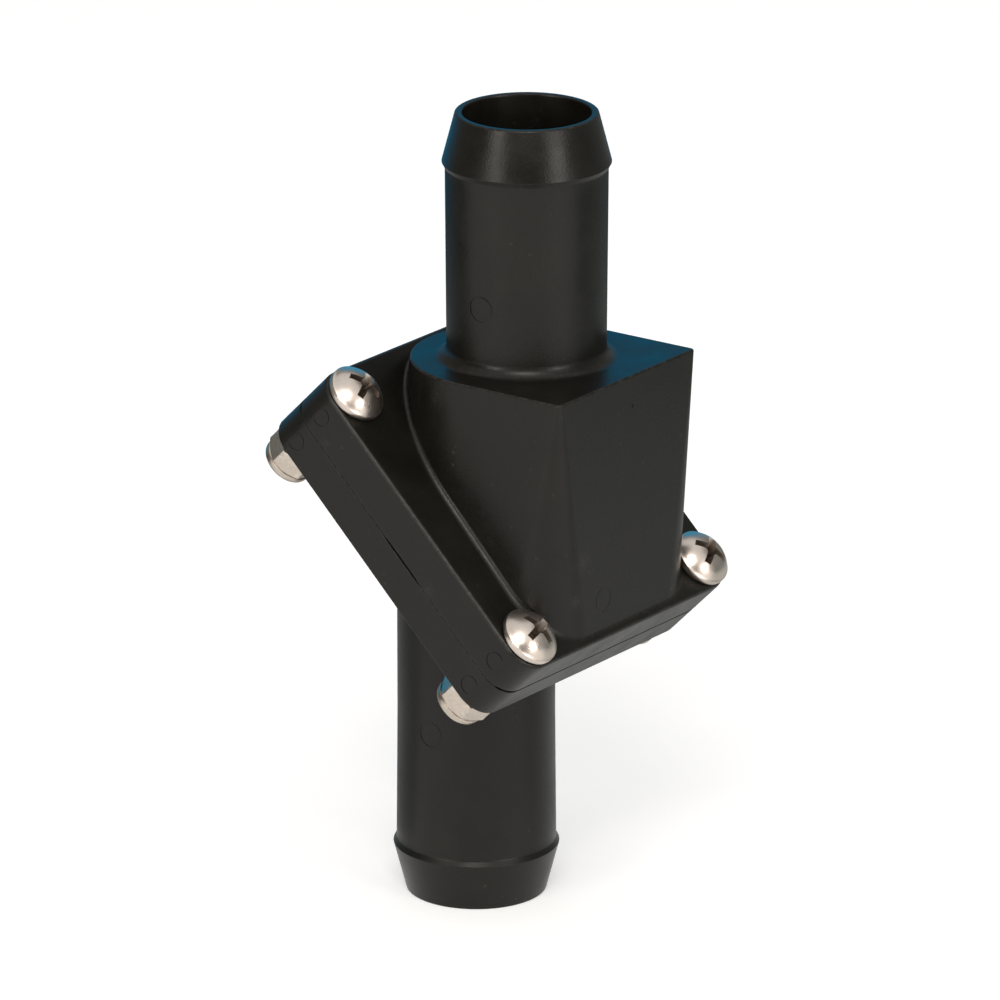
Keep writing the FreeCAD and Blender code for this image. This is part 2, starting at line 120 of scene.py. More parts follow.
# A skin over a stack of rings: a grid whose rows are laid on the rings and whose seam is closed.
# "worn" gives the rings that take the worn tone, and how much: rings on an edge, where the finish rubs them, and on the
# block the middle of the foot fillet, where that tone is a painted highlight.
def skin(name, rings, worn=None):
    clearSelection()
    bpy.ops.mesh.primitive_grid_add(x_subdivisions=len(rings[0]), y_subdivisions=len(rings) - 1, size=1)
    piece = bpy.context.object
    piece.name = name
    spots = [spot for ring in rings for spot in (*ring, ring[0])]
    rubbed = [(worn or {}).get(row, 0.0) for row, ring in enumerate(rings) for _ in range(len(ring) + 1)]
    piece.data.vertices.foreach_set("co", [number for spot in spots for number in spot])
    piece.data.attributes.new("edgeWear", "FLOAT", "POINT").data.foreach_set("value", rubbed)
    return mergeDoubles(piece)


# Closes a hole, or the ring between two loops, whose open edges pass a test.
def fill(piece, test):
    enterEdit(piece, "EDGE", "DESELECT")
    bpy.ops.mesh.select_non_manifold(extend=False, use_wire=False, use_boundary=True,
                                     use_multi_face=False, use_non_contiguous=False, use_verts=False)
    leaveEdit()
    mesh = piece.data
    chosen = [edge for edge in mesh.edges if edge.select and all(test(end) for end in endsOf(mesh, edge))]
    for cells in (mesh.vertices, mesh.edges, mesh.polygons):
        cells.foreach_set("select", [False] * len(cells))
    for edge in chosen:
        edge.select = True
        for v in edge.vertices:
            mesh.vertices[v].select = True
    bpy.ops.object.mode_set(mode="EDIT")
    bpy.ops.mesh.fill(use_beauty=True)
    leaveEdit()


def joinPieces(name, pieces):
    take(pieces[0])
    for piece in pieces[1:]:
        piece.select_set(True)
    bpy.ops.object.join()
    pieces[0].name = name
    return pieces[0]


def combine(piece, tool, operation="DIFFERENCE"):
    take(piece)
    change = piece.modifiers.new("combine", "BOOLEAN")
    change.operation, change.solver, change.object = operation, "EXACT", tool
    bpy.ops.object.modifier_apply(modifier=change.name)
    bpy.data.objects.remove(tool)
    return piece


# Rings on the axis keep a radius that mergeDoubles welds to one point.
axisRadius = 0.00001


def ringOf(radius, height, steps, centre=(0.0, 0.0)):
    return [Vector((centre[0] + radius * math.cos(2 * math.pi * i / steps),
                    centre[1] + radius * math.sin(2 * math.pi * i / steps), height)) for i in range(steps)]


# Rings of a turned form: (radius, height) from end to end, closed on the axis where the radius is small.
def turnedRings(profile, steps, centre=(0.0, 0.0)):
    return [ringOf(max(radius, axisRadius), height, steps, centre) for radius, height in profile]


def turned(name, profile, steps, centre=(0.0, 0.0), worn=None):
    return skin(name, turnedRings(profile, steps, centre), worn)


# An arc of a profile or an outline between two directions in degrees.
def arc(centre, radius, first, last, steps):
    spots = []
    for i in range(steps + 1):
        angle = math.radians(first + (last - first) * i / steps)
        spots.append((centre[0] + radius * math.cos(angle), centre[1] + radius * math.sin(angle)))
    return spots


# Moves a piece made at the origin to a spot, with its X, Y and Z along three axes.
def layOut(piece, spot, *axes):
    piece.data.transform(Matrix.Translation(spot) @ Matrix(axes).transposed().to_4x4())
    return piece


def placeOnJoint(piece, along, side, above, spin=0.0):
    piece.data.transform(Matrix.Rotation(spin, 4, "Z"))
    return layOut(piece, onJoint(along, side, above), downSlope, sideways, offJoint)


# Last step of a piece: metres, shading, its finish, its body and the node it stands for.
def finishPiece(piece, material, nodes, body="housing", smoothAngle=38.0):
    take(piece)
    bpy.ops.transform.resize(value=(toMetres, toMetres, toMetres), center_override=(0, 0, 0))
    bpy.ops.object.transform_apply(location=True, rotation=True, scale=True)
    bpy.ops.object.shade_smooth_by_angle(angle=math.radians(smoothAngle))
    evener = piece.modifiers.new("evenNormals", "WEIGHTED_NORMAL")
    evener.keep_sharp, evener.weight = True, 60
    bpy.ops.object.modifier_apply(modifier=evener.name)
    piece.data.materials.clear()
    piece.data.materials.append(material)
    if body:
        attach(piece, body)
    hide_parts(*nodes)
    return piece


def link(thing):
    bpy.context.scene.collection.objects.link(thing)
    return thing


def copyOf(piece, name):
    twin = piece.copy()
    twin.data = piece.data.copy()
    twin.name = name
    return link(twin)


# A node group that the finishes share: it takes the place and some numbers, here with their defaults.
def newGroup(name, numbers, outputs):
    group = bpy.data.node_groups.new(name, "ShaderNodeTree")
    group.interface.new_socket(name="Place", in_out="INPUT", socket_type="NodeSocketVector")
    for label, default in numbers.items():
        group.interface.new_socket(name=label, in_out="INPUT", socket_type="NodeSocketFloat").default_value = default
    for label in outputs:
        group.interface.new_socket(name=label, in_out="OUTPUT", socket_type="NodeSocketFloat")
    return group, group.nodes.new("NodeGroupInput").outputs, group.nodes.new("NodeGroupOutput").inputs


# Each source is the output of another node or a plain value.
def connect(tree, node, links):
    for socket, source in links.items():
        if hasattr(source, "is_output"):
            tree.links.new(source, node.inputs[socket])
        else:
            node.inputs[socket].default_value = source
    return node


def addNode(tree, kind, links=None, **settings):
    node = tree.nodes.new(kind)
    for name, setting in settings.items():
        setattr(node, name, setting)
    return connect(tree, node, links or {})


def addMath(tree, operation, first, second=0.0, third=None):
    links = {0: first, 1: second}
    if third is not None:
        links[2] = third
    return addNode(tree, "ShaderNodeMath", links, operation=operation).outputs[0]


def addRamp(tree, source, low, high, toLow=0.0, toHigh=1.0):
    return addNode(tree, "ShaderNodeMapRange", {0: source, 1: low, 2: high, 3: toLow, 4: toHigh}).outputs[0]


def addNoise(tree, place, scale, detail=3.0, rough=0.5):
    links = {"Vector": place, "Scale": scale, "Detail": detail, "Roughness": rough}
    return addNode(tree, "ShaderNodeTexNoise", links).outputs["Fac"]


# Fine moulded or rubbery grain: a height and a slow cloud for tone.
def makeGrainGroup():
    group, given, result = newGroup("mouldedGrain", {"Grain Scale": 3000.0, "Cloud Scale": 120.0}, ("Height", "Cloud"))
    group.links.new(addNoise(group, given["Place"], given["Grain Scale"], 2.0), result["Height"])
    group.links.new(addNoise(group, given["Place"], given["Cloud Scale"], 4.0, 0.6), result["Cloud"])
    return group


# Rubbed edges, and the painted highlight along the block's foot: the edgeWear attribute broken up by noise.
def makeWearGroup():
    group, given, result = newGroup("rubbedEdges", {"Break Scale": 900.0, "Amount": 0.5}, ("Mask",))
    worn = addNode(group, "ShaderNodeAttribute", attribute_name="edgeWear").outputs["Fac"]
    breaks = addNoise(group, given["Place"], given["Break Scale"], 5.0, 0.7)
    mask = addMath(group, "MULTIPLY", worn, addRamp(group, breaks, 0.42, 0.7))
    group.links.new(addMath(group, "MULTIPLY", mask, given["Amount"]), result["Mask"])
    return group


# Dust: small separate specks, thicker where the cloud of them gathers.
def makeDustGroup():
    numbers = {"Speck Scale": 700.0, "Gather Scale": 60.0, "Speck Size": 0.12}
    group, given, result = newGroup("dustSpecks", numbers, ("Mask",))
    cells = addNode(group, "ShaderNodeTexVoronoi", {"Vector": given["Place"], "Scale": given["Speck Scale"]})
    speck = addMath(group, "LESS_THAN", cells.outputs["Distance"], given["Speck Size"])
    gather = addNoise(group, given["Place"], given["Gather Scale"], 3.0, 0.6)
    group.links.new(addMath(group, "MULTIPLY", speck, addRamp(group, gather, 0.52, 0.66)), result["Mask"])
    return group


print("building the finishes")
grainGroup = makeGrainGroup()
wearGroup = makeWearGroup()
dustGroup = makeDustGroup()


def newMaterial(name):
    material = bpy.data.materials.new(name)
    material.use_nodes = True
    tree = material.node_tree
    shader = tree.nodes["Principled BSDF"]
    place = addNode(tree, "ShaderNodeTexCoord").outputs["Object"]
    return material, tree, shader, place


def useGroup(tree, group, **values):
    node = tree.nodes.new("ShaderNodeGroup")
    node.node_tree = group
    return connect(tree, node, {label.replace("_", " "): source for label, source in values.items()})


def mixColour(tree, share, first, second):
    first, second = [tone if hasattr(tone, "is_output") else (*tone, 1.0) for tone in (first, second)]
    return addNode(tree, "ShaderNodeMix", {0: share, 6: first, 7: second}, data_type="RGBA").outputs[2]


# Roughness that follows the slow cloud of the grain.
def addRough(tree, grain, low, high):
    return addRamp(tree, grain.outputs["Cloud"], 0.3, 0.7, low, high)


def dress(tree, shader, base, rough, height, bump, strength):
    relief = addNode(tree, "ShaderNodeBump", {"Height": height, "Distance": bump, "Strength": strength})
    for source, socket in ((base, "Base Color"), (rough, "Roughness"), (relief.outputs[0], "Normal")):
        tree.links.new(source, shader.inputs[socket])


# Spots on the joint and how far each reaches, in metres, for a few scuffs; the second spot, on the block's top front
# corner, is a painted highlight.
plasticFinish = {
    "dark": (0.0045, 0.0042, 0.0031), "light": (0.0074, 0.0069, 0.0052),
    "worn": (0.052, 0.043, 0.036), "dust": (0.075, 0.068, 0.060), "scuffAndHighlightTone": (0.050, 0.046, 0.041),
    "dustShare": 0.25, "scuffAndHighlightShare": 0.45, "rough": (0.30, 0.42), "grain": 2900.0, "cloud": 140.0,
    "cloudRelief": 0.8, "bump": 0.00003, "strength": 0.8, "ior": 1.33,
    "streaks": 2400.0, "streakStretch": (1.0, 1.0, 3.0), "streakFrom": 0.66, "streakTo": 0.80, "scuffAndHighlightLift": 0.22,
    # The spot at (-0.83, -18.2, 35.2) paints a highlight on the block's top front corner; the others are scuffs.
    "scuffSpotsAndHighlight": (((8.2, -28.0, 0.9), 0.0024), ((-0.83, -18.2, 35.2), 0.0010), ((18.3, -12.0, 16.1), 0.0040),
               ((22.1, -13.5, 11.5), 0.0034), ((7.5, -19.2, 9.7), 0.0022), ((-20.0, -28.0, 1.2), 0.0018)),
}


# Glass-filled black plastic: satin, faintly clouded, with fine grain, rubbed edges, a few specks and scuffs, and
# painted highlights: a lighter line along the block's foot and a spot on its top front corner.
def makePlastic():
    look = plasticFinish
    material, tree, shader, place = newMaterial("satinBlackPlastic")
    grain = useGroup(tree, grainGroup, Place=place, Grain_Scale=look["grain"], Cloud_Scale=look["cloud"])
    wear = useGroup(tree, wearGroup, Place=place, Break_Scale=1100.0, Amount=0.55)
    dust = useGroup(tree, dustGroup, Place=place, Speck_Scale=520.0, Gather_Scale=70.0, Speck_Size=0.13)
    base = mixColour(tree, addRough(tree, grain, 0.0, 1.0), look["dark"], look["light"])
    # The worn tone on rubbed edges, which also paints the highlight line along the block's foot.
    base = mixColour(tree, wear.outputs["Mask"], base, look["worn"])
    base = mixColour(tree, addMath(tree, "MULTIPLY", dust.outputs["Mask"], look["dustShare"]), base, look["dust"])
    # A few scuffs and one painted highlight: patches of streaky noise round a spot on the joint, in a lighter tone.
    stretched = addNode(tree, "ShaderNodeMapping", {"Vector": place, "Scale": look["streakStretch"]}).outputs[0]
    streaks = addNoise(tree, stretched, look["streaks"], 5.0, 0.8)
    for where, size in look["scuffSpotsAndHighlight"]:
        away = addNode(tree, "ShaderNodeVectorMath", {0: place, 1: onJoint(*where) * toMetres}, operation="DISTANCE")
        near = addRamp(tree, away.outputs["Value"], size, 0.0, 0.0, look["scuffAndHighlightLift"])
        spots = addRamp(tree, addMath(tree, "ADD", streaks, near), look["streakFrom"], look["streakTo"])
        patch = addMath(tree, "MULTIPLY", spots, addMath(tree, "GREATER_THAN", near, 0.001))
        base = mixColour(tree, addMath(tree, "MULTIPLY", patch, look["scuffAndHighlightShare"]), base, look["scuffAndHighlightTone"])
    shader.inputs["IOR"].default_value = look["ior"]
    height = addMath(tree, "MULTIPLY_ADD", grain.outputs["Cloud"], look["cloudRelief"], grain.outputs["Height"])
    dress(tree, shader, base, addRough(tree, grain, *look["rough"]), height, look["bump"], look["strength"])
    return material


# The other finishes: "tone" and "relief" name the output of the grain that drives colour and bump.
# Screws are rolled and polished, nuts tumbled and duller, and discs brushed one way across.
finishes = {
    "mattRubber": {
        "grain": 5200.0, "cloud": 200.0, "tone": "Cloud", "dark": (0.020, 0.020, 0.021), "light": (0.034, 0.033, 0.032),
        "dust": (0.16, 0.15, 0.14), "dustShare": 0.35, "rough": (0.62, 0.78), "relief": "Height", "bump": 0.00003,
        "strength": 0.7, "metallic": 0.0},
    # brightStainless paints shade into the cross recess of the screw heads with its dark recess tone and a rougher
    # finish there.
    "brightStainless": {
        "grain": 4200.0, "cloud": 420.0, "tone": "Cloud", "dark": (0.50, 0.435, 0.38), "light": (0.62, 0.55, 0.49),
        "worn": (0.74, 0.68, 0.62), "breaks": 1500.0, "amount": 0.6, "recess": (0.13, 0.098, 0.075),
        "recessRough": 0.25, "rough": (0.26, 0.36), "relief": "Cloud", "bump": 0.00004, "strength": 0.5,
        "metallic": 1.0},
    "tumbledStainless": {
        "grain": 3600.0, "cloud": 600.0, "tone": "Cloud", "dark": (0.42, 0.365, 0.31), "light": (0.55, 0.49, 0.42),
        "worn": (0.70, 0.64, 0.57), "breaks": 1400.0, "amount": 0.7, "rough": (0.24, 0.38), "relief": "Height",
        "bump": 0.00001, "strength": 0.6, "metallic": 1.0},
    "brushedStainless": {
        "brush": (1.0, 0.03, 1.0), "grain": 5200.0, "cloud": 900.0, "tone": "Height", "dark": (0.46, 0.45, 0.43),
        "light": (0.66, 0.64, 0.62), "rough": (0.26, 0.42), "relief": "Height", "bump": 0.000015, "strength": 0.6,
        "metallic": 1.0},
    "naturalNylon": {
        "grain": 3800.0, "cloud": 500.0, "tone": "Cloud", "dark": (0.60, 0.58, 0.50), "light": (0.76, 0.74, 0.67),
        "rough": (0.42, 0.56), "relief": "Height", "bump": 0.00001, "strength": 0.6, "metallic": 0.0},
}


def makeFinish(name):
    look = finishes[name]
    material, tree, shader, place = newMaterial(name)
    if "brush" in look:
        place = addNode(tree, "ShaderNodeMapping", {"Vector": place, "Scale": look["brush"]}).outputs[0]
    grain = useGroup(tree, grainGroup, Place=place, Grain_Scale=look["grain"], Cloud_Scale=look["cloud"])
    base = mixColour(tree, grain.outputs[look["tone"]], look["dark"], look["light"])
    rough = addRough(tree, grain, *look["rough"])
    if "worn" in look:
        wear = useGroup(tree, wearGroup, Place=place, Break_Scale=look["breaks"], Amount=look["amount"])
        base = mixColour(tree, wear.outputs["Mask"], base, look["worn"])
    if "dust" in look:
        dust = useGroup(tree, dustGroup, Place=place, Speck_Scale=900.0, Gather_Scale=150.0, Speck_Size=0.10)
        base = mixColour(tree, addMath(tree, "MULTIPLY", dust.outputs["Mask"], look["dustShare"]), base, look["dust"])
    # Painted shade: the cross recess is darkened and made rougher where the recess attribute is set.
    if "recess" in look:
        paintedRecessShade = addNode(tree, "ShaderNodeAttribute", attribute_name="recess").outputs["Fac"]
        base = mixColour(tree, paintedRecessShade, base, look["recess"])
        rough = addMath(tree, "MULTIPLY_ADD", paintedRecessShade, look["recessRough"], rough)
    shader.inputs["Metallic"].default_value = look["metallic"]
    dress(tree, shader, base, rough, grain.outputs[look["relief"]], look["bump"], look["strength"])
    return material


plastic = makePlastic()
rubber, brightSteel, nutSteel, brushedSteel, nylon = [makeFinish(name) for name in finishes]

# Hose tails, the same at both ends. Heights count from the mouth.
tailShape = {
    "bore": 10.0, "mouth": 11.2, "mouthRound": 0.35, "boreRound": 0.3, "barb": 13.2, "barbLength": 7.85,
    "barbBack": 0.95, "barbRound": 0.22, "wide": 12.7, "narrow": 12.5, "rootFillet": 2.0, "inletRoot": 30.0,
    "inletFoot": 1.0, "past": 110.0, "steps": 96,
}


# Outside of a tail from the middle of its mouth to where its root stands, and the rows on its edges.
def tailProfile(root):
    s = tailShape
    edge, corner = s["mouthRound"], s["barbRound"]
    slant = math.degrees(math.atan2(s["barb"] - s["mouth"], s["barbLength"]))
    rows = [(0.0, 0.0), (s["bore"] * 0.6, 0.0), (s["mouth"] - edge, 0.0)]
    rows += arc((s["mouth"] - edge * 0.9, edge), edge, -70, 0 - slant, 4)
    worn = {4: 1.0, 5: 1.0, 6: 0.7}
    first = len(rows)
    rows += arc((s["barb"] - corner, s["barbLength"]), corner, -slant, 62, 4)
    worn.update({first + 1: 0.2, first + 2: 0.35, first + 3: 0.2})
    rows.append((s["wide"] + 0.12, s["barbLength"] + s["barbBack"] * 0.8))
    rows.append((s["wide"], s["barbLength"] + s["barbBack"]))
    for share in (0.05, 0.35, 0.7, 1.0):
        height = s["barbLength"] + s["barbBack"] + (root - s["barbLength"] - s["barbBack"]) * share
        rows.append((s["wide"] + (s["narrow"] - s["wide"]) * share, height))
    return rows, worn


# Flanges of the two halves.
flangeShape = {
    "length": 56.8, "width": 56.0, "corner": 4.7, "upper": 7.2, "lower": 6.5, "edgeUpper": 0.65, "edgeLower": 0.4,
    "seam": 0.05, "seamEnd": 0.22, "seamGap": 0.2, "gapFrom": -3.2, "gapTo": 7.0, "cornerSteps": 9, "sideSteps": 48,
}


# Points round a flange, each with the direction that leads outwards.
def flangeOutline():
    s = flangeShape
    far, side = s["length"] / 2 - s["corner"], s["width"] / 2 - s["corner"]
    spots = []
    corners = [(far, side, 0), (-far, side, 90), (-far, -side, 180), (far, -side, 270)]
    for index, (x, y, first) in enumerate(corners):
        directions = arc((0, 0), 1, first, first + 90, s["cornerSteps"])
        spots += [(x + s["corner"] * u, y + s["corner"] * v, u, v) for u, v in directions]
        startX, startY, u, v = spots[-1]
        nextX, nextY, _ = corners[(index + 1) % 4]
        for step in range(1, s["sideSteps"]):
            share = step / s["sideSteps"]
            spots.append((startX + (nextX - x) * share, startY + (nextY - y) * share, u, v))
    return spots


# The halves meet in a fine seam that gapes a little in the middle of the long sides.
def seamAt(along, side):
    s = flangeShape
    if abs(side) < s["width"] / 2 - 1:
        return s["seamEnd"]
    middle = (s["gapFrom"] + s["gapTo"]) / 2
    reach = (s["gapTo"] - s["gapFrom"]) / 2
    share = max(0.0, 1 - ((along - middle) / reach) ** 2)
    return s["seam"] + (s["seamGap"] - s["seam"]) * math.sqrt(share)


# Rings of a flange from its outer face ("far") to the joint; direction is 1 for the upper half.
def flangeRings(direction):
    s = flangeShape
    far = s["upper"] if direction > 0 else -s["lower"]
    edge = s["edgeUpper"] if direction > 0 else s["edgeLower"]
    outline = flangeOutline()
    rings = []
    for inset, drop in [(edge - x, edge - y) for x, y in arc((0, 0), edge, 90, 0, 5)]:
        rings.append([onJoint(a - u * inset, b - v * inset, far - direction * drop) for a, b, u, v in outline])
    seam = [seamAt(a, b) for a, b, _, _ in outline]
    for down, above, inset in ((1.0, 0.3, 0.0), (1.0, 0.06, 0.0), (1.0, 0.0, 0.02), (0.9, 0.0, 0.35), (0.0, 0.0, 0.7)):
        rings.append([onJoint(a - u * inset, b - v * inset, direction * (gap * down + above))
                      for (a, b, u, v), gap in zip(outline, seam)])
    return rings


flangeWear = {1: 0.3, 2: 0.6, 3: 0.6, 4: 0.3, 7: 0.7, 8: 0.8}


blockShape = {
    "height": 25.5, "halfWidth": 18.2, "draft": 3.4, "endX": 29.194, "skirt": 18.0, "cornerTop": 0.8,
    "cornerFoot": 10.5, "topRound": 0.36, "footLeg": 1.1, "endLeg": 0.45, "endLedge": 1.2, "legRun": 3.0,
    "cornerSteps": 14, "roundSteps": 56, "sideSteps": 10, "endSteps": 12,
}


# One level outline of the chamber block, "rise" above the joint's middle and set in by "inset".
def blockOutline(rise, inset=0.0, corner=None):
    s = blockShape
    share = (s["height"] - rise) / (s["height"] + s["skirt"])
    half = s["halfWidth"] + (s["height"] - rise) * math.tan(math.radians(s["draft"])) - inset
    radius = corner
    if corner is None:
        radius = max(s["cornerTop"] + (s["cornerFoot"] - s["cornerTop"]) * share - inset, 0.08)
    end = s["endX"] - inset
    height = joint["z"] + rise
    spots = []

    def addArc(x, y, size, first, last, steps):
        spots.extend(Vector((*spot, height)) for spot in arc((x, y), size, first, last, steps))

    def addLine(stop, steps):
        start = spots[-1].copy()
        for i in range(1, steps):
            spots.append(start.lerp(Vector((*stop, height)), i / steps))

    addArc(end - radius, half - radius, radius, 0, 90, s["cornerSteps"])
    addLine((outletX, half), s["sideSteps"])
    addArc(outletX, 0, half, 90, 270, s["roundSteps"])
    addLine((end - radius, -half), s["sideSteps"])
    addArc(end - radius, -half + radius, radius, 270, 360, s["cornerSteps"])
    addLine((end, half - radius), s["endSteps"])
    return spots


def neighbours(spots, index):
    return spots[index - 1], spots[(index + 1) % len(spots)]


def meetPlane(start, stop, level):
    a, b = fromJoint(start)[2] - level, fromJoint(stop)[2] - level
    return start.lerp(stop, a / (a - b))


# Runs every line of a wall from one ring to another down to a plane on the joint and rounds its foot into
# that plane. Direction is 1 where the wall stands on the upper half and -1 where it hangs from the lower.
def footRings(near, far, level, legOf, direction=1, steps=5):
    feet = [meetPlane(start, stop, level) for start, stop in zip(near, far)]
    face = offJoint * direction
    rings = [[] for _ in range(steps + 1)]
    for index, foot in enumerate(feet):
        before, after = neighbours(feet, index)
        along = (after - before).normalized()
        rise = (near[index] - foot).normalized()
        wall = (along.cross(rise) * direction).normalized()
        outward = along.cross(offJoint).normalized()
        up = wall.cross(along).normalized()
        if up.dot(rise) < 0:
            up = -up
        radius = legOf(foot) * math.tan(up.angle(outward) / 2)
        middle = foot + (wall + face) * (radius / (1 + wall.dot(face)))
        for row in range(steps + 1):
            rings[row].append(middle - wall.slerp(face, row / steps) * radius)
    return rings


print("modelling the outlet half")


def footLeg(foot):
    s = blockShape
    room = flangeShape["length"] / 2 - fromJoint(foot)[0]
    share = min(max((room - s["endLedge"]) / s["legRun"], 0.0), 1.0)
    return s["endLeg"] + (s["footLeg"] - s["endLeg"]) * share


planeSlack = 0.002


def nearPlane(level):
    return lambda spot: abs(fromJoint(spot)[2] - level) < planeSlack


def nearHeight(height):
    return lambda spot: abs(spot[2] - height) < planeSlack


def makeOutletShell():
    s, t, f = blockShape, tailShape, flangeShape
    crown = joint["z"] + s["height"]
    mouth = 2 * joint["z"]
    profile, worn = tailProfile(mouth - crown - t["rootFillet"])
    profile = [(radius, mouth - height) for radius, height in profile]
    fillet = arc((t["narrow"] + t["rootFillet"], crown + t["rootFillet"]), t["rootFillet"], 180, 270, 8)
    first = len(profile) - 1
    worn.update({first + 3: 0.2, first + 4: 0.3, first + 5: 0.3, first + 6: 0.2})
    tail = turned("tail", profile[:-1] + fillet, t["steps"], (outletX, 0), worn)

    rings = []
    for x, y in arc((0, 0), s["topRound"], 90, 0, 5):
        rings.append(blockOutline(s["height"] - s["topRound"] + y, s["topRound"] - x))
    foot = footRings(blockOutline(s["height"]), blockOutline(-s["skirt"]), f["upper"], footLeg)
    # Rows 1 to 4 round the top edge and take wear; rows 8 and 9, the middle of the foot fillet, take the worn tone as a
    # painted highlight line.
    wornAndHighlightRows = {1: 0.8, 2: 1.0, 3: 1.0, 4: 0.8, 8: 0.5, 9: 0.5}
    block = skin("block", rings + foot, wornAndHighlightRows)
    flange = skin("flange", flangeRings(1), flangeWear)
    shell = joinPieces("outletHalf", [tail, block, flange])
    fill(shell, nearHeight(crown))
    fill(shell, nearPlane(f["upper"]))
    fill(shell, nearPlane(0.0))
    return mergeDoubles(shell)


def drillBolts(half, low, high):
    for along, side in boltPlaces:
        rows = [(0, low), (bolts["hole"], low), (bolts["hole"], high), (0, high)]
        combine(half, placeOnJoint(turned("hole", rows, 40), along, side, 0))


# A flat plate cut out along a closed line on the joint.
def plate(name, outline, low, high):
    rings = [[onJoint(a, b, level) for a, b in outline] for level in (low, high)]
    piece = skin(name, rings)
    fill(piece, nearPlane(low))
    fill(piece, nearPlane(high))
    return mergeDoubles(piece)


# A closed line: half round at one end, square with rounded corners at the other.
def halfRoundLine(centre, end, half, corner):
    return (arc((end - corner, half - corner), corner, 0, 90, 8) + arc((centre, 0), half, 90, 270, 40)
            + arc((end - corner, corner - half), corner, 270, 360, 8))


def roundedLine(length, width, corner):
    line = []
    for x, y, first in ((1, 1, 0), (-1, 1, 90), (-1, -1, 180), (1, -1, 270)):
        line += arc((x * (length / 2 - corner), y * (width / 2 - corner)), corner, first, first + 90, 10)
    return line


hollow = {"wall": 2.6, "roof": 2.8, "corner": 6.0, "pocket": 5.0, "pocketRun": 25.0, "pocketHalf": 15.6,
          "pocketCorner": 4.0, "seat": -4.887, "seatRadius": 10.6, "seatPlate": 2.0, "step": 0.4, "boreLength": 38.0,
          "stepLength": 5.5, "recessLength": 49.2, "recessWidth": 42.2, "recessCorner": 11.1, "sheet": 2.0,
          "overlap": 0.2}


# Rings pressed by ejector pins: a thin groove, flat for a face or bent round a tail. Tail marks have a
# height, a direction and the tail's radius there; end wall marks have side, rise, radius, groove and depth.
pinMarks = {"radius": 1.5, "groove": 0.15, "depth": 0.08, "along": 23.5, "upper": 3.5, "lower": -3.4,
            "tailRadius": 2.0, "tailGroove": 0.24, "tailDepth": 0.05, "cut": 0.4,
            "outletTail": (101.0, -88.5, 12.52), "inletTail": (29.2, -89.0, 12.50),
            "endWall": ((-6.6, -9.0, 1.9, 0.14, 0.03), (1.0, 20.6, 0.2, 0.3, 0.07))}


def pinRing(radius, groove, depth):
    cut, inner, outer = -pinMarks["cut"], radius - groove / 2, radius + groove / 2
    return turned("pinRing", [(inner, depth), (inner, cut), (outer, cut), (outer, depth), (inner, depth)], 32)


# Side face marks: depth runs into the face from y = side.
def sideMark(along, above, side):
    m = pinMarks
    tool = pinRing(m["radius"], m["groove"], m["depth"])
    sign = 1 if side > 0 else -1
    return mergeDoubles(layOut(tool, onJoint(along, side, above), downSlope * sign, offJoint, -sideways * sign))


def markSides(half, above):
    for along in (-pinMarks["along"], pinMarks["along"]):
        for side in (-flangeShape["width"] / 2, flangeShape["width"] / 2):
            combine(half, sideMark(along, above, side))


# End wall marks: a ring, or a dimple where the groove is as wide as the mark.
def endMark(side, rise, radius, groove, depth):
    spot = Vector((blockShape["endX"], side, joint["z"] + rise))
    return mergeDoubles(layOut(pinRing(radius, groove, depth), spot, sideways, (0, 0, 1), (-1, 0, 0)))


# Tail marks: the flat ring is wrapped round the tail's own radius.
def tailMark(centreX, height, angle, tailRadius):
    m = pinMarks
    tool = pinRing(m["tailRadius"], m["tailGroove"], 0.0)
    for vertex in tool.data.vertices:
        u, v, w = vertex.co
        reach = tailRadius - m["tailDepth"] if w > -m["cut"] / 2 else tailRadius + m["cut"]
        around = math.radians(angle) + u / tailRadius
        vertex.co = (centreX + reach * math.cos(around), reach * math.sin(around), height + v)
    return mergeDoubles(tool)


# Bore of a tail from outside its mouth: (radius, depth).
def boreRows():
    t, h = tailShape, hollow
    edge = t["bore"] + t["boreRound"]
    return [(edge + 1, -1), (edge, 0), (t["bore"] + 0.1, 0.12), (t["bore"], 0.4), (t["bore"], h["boreLength"]),
            (t["bore"] + h["step"], h["boreLength"])]


def makeOutletHalf():
    h, s = hollow, blockShape
    half = makeOutletShell()
    roof, floorLevel = s["height"] - h["roof"], h["pocket"] - h["overlap"]
    inner = [blockOutline(rise, h["wall"], h["corner"]) for rise in (roof, -s["skirt"])]
    chamber = skin("chamber", [inner[0], [meetPlane(top, bottom, floorLevel) for top, bottom in zip(*inner)]])
    fill(chamber, nearHeight(joint["z"] + roof))
    fill(chamber, nearPlane(floorLevel))
    combine(half, mergeDoubles(chamber))
    line = halfRoundLine(h["seat"], h["seat"] + h["pocketRun"], h["pocketHalf"], h["pocketCorner"])
    combine(half, plate("pocket", line, -1.0, h["pocket"]))
    mouth, last = 2 * joint["z"], h["boreLength"] + h["stepLength"]
    rows = [(0, -1)] + boreRows() + [(tailShape["bore"] + h["step"], last), (0, last)]
    bore = turned("bore", [(radius, mouth - depth) for radius, depth in rows], tailShape["steps"], (outletX, 0))
    combine(half, bore)
    drillBolts(half, -1, flangeShape["upper"] + 1)
    markSides(half, pinMarks["upper"])
    for mark in pinMarks["endWall"]:
        combine(half, endMark(*mark))
    combine(half, tailMark(outletX, *pinMarks["outletTail"]))
    return half


